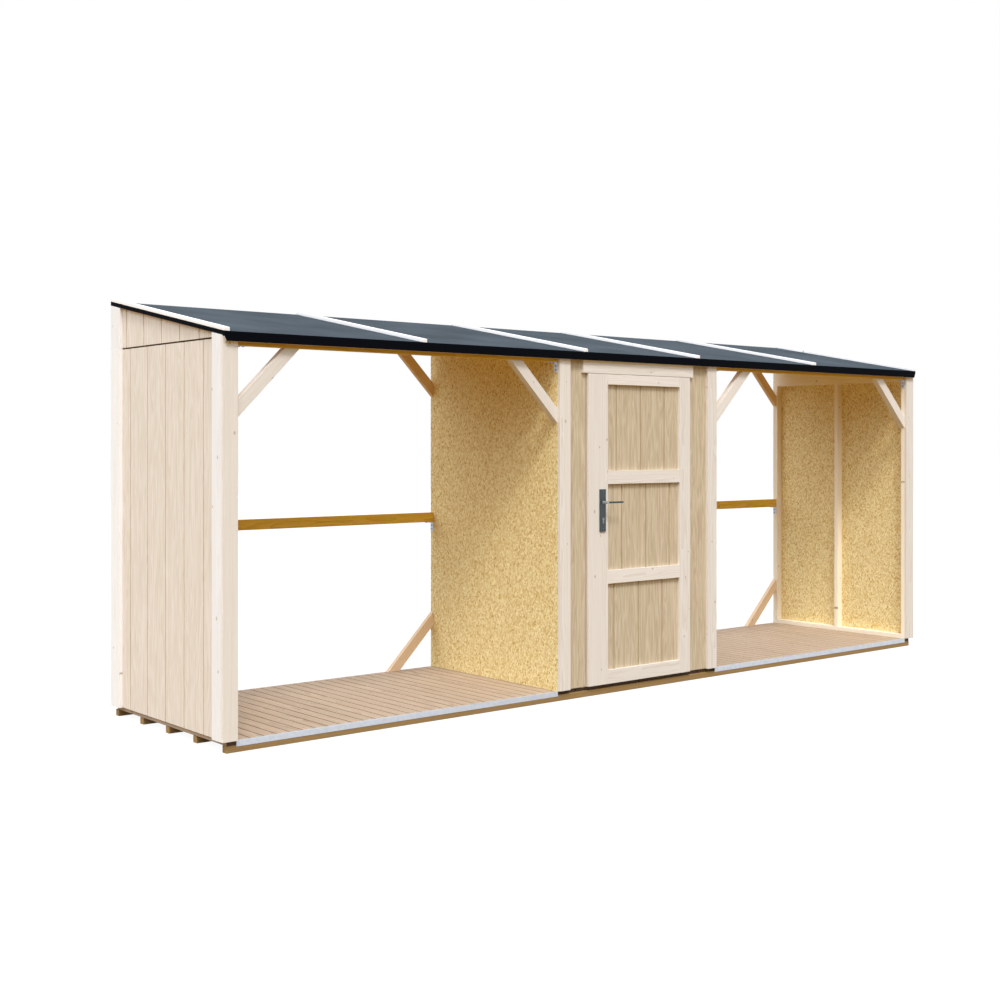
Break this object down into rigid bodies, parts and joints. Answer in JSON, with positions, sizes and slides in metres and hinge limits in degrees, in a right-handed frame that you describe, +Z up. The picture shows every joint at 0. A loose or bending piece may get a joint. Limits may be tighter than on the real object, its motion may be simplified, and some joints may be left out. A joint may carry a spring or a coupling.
{
  "type": "log store with a middle cupboard",
  "caption": "Long timber log store: open bays either side of a boarded cupboard with a hinged door and lever, under a felted roof that falls to the front.",
  "frame": {"origin": "centre of the bounding box at ground level, under the middle of the store", "axes": "+X along the store from the left bay to the right bay as seen from the front, +Y from the front to the back, +Z up"},
  "size_m": [5.594, 1.291, 2.2447],
  "materials": {
    "trim_board": "planed pale softwood",
    "siding": "grooved wood-grain siding sheet",
    "frame_timber": "planed softwood",
    "strand_board": "oriented strand board",
    "deck_board": "planed deck boards",
    "treated_bearer": "brown pressure-treated softwood",
    "galvanised_steel": "galvanised",
    "roofing_felt": "mineral felt, slate grey",
    "lock_metal": "dark grey satin",
    "cylinder_metal": "satin nickel"
  },
  "bodies": {
    "store": {"floor_bearers": "treated_bearer", "bay_decks": "deck_board", "cupboard_floor": "deck_board", "deck_edgings": "galvanised_steel", "wall_panels": "siding", "gable_panels": "siding", "wall_studs": "frame_timber", "wall_plates": "frame_timber", "gable_rafters": "frame_timber", "gable_plates": "frame_timber", "end_posts": "trim_board", "corner_trims": "trim_board", "gable_trims": "trim_board", "cupboard_walls": "strand_board", "cupboard_studs": "frame_timber", "cupboard_plates": "frame_timber", "cupboard_front_left": "siding", "cupboard_front_right": "siding", "cupboard_front_head": "siding", "door_jambs": "frame_timber", "door_lintel": "frame_timber", "cupboard_back": "siding", "cupboard_posts": "trim_board", "door_head_board": "trim_board", "front_beams": "frame_timber", "rear_beams": "frame_timber", "rear_rails": "frame_timber", "front_braces": "trim_board", "rear_braces": "frame_timber", "beam_brackets": "galvanised_steel", "rail_brackets": "galvanised_steel", "roof_deck": "frame_timber", "front_fascia": "trim_board", "roof_felt": "roofing_felt", "roof_battens": "trim_board", "hinge_frame_leaves": "galvanised_steel"},
    "door": {"door_leaf": "siding", "door_stiles": "trim_board", "door_rails": "trim_board", "hinge_door_leaves": "galvanised_steel", "door_lock_plate": "lock_metal", "door_lock_cylinder": "cylinder_metal"},
    "lever": {"door_lever": "lock_metal"}
  },
  "joints": [
    {"name": "door_swing", "type": "hinge", "parent": "store", "child": "door", "pos_m": [0.426, -0.5795, 0.95], "axis": [0, 0, 1], "range_deg": [0, 110]},
    {"name": "lever_turn", "type": "hinge", "parent": "door", "child": "lever", "pos_m": [-0.332, -0.5995, 1.122], "axis": [0, 1, 0], "range_deg": [0, 40], "stiffness_Nm_per_rad": 1.5, "springref_deg": -11.46}
  ]
}
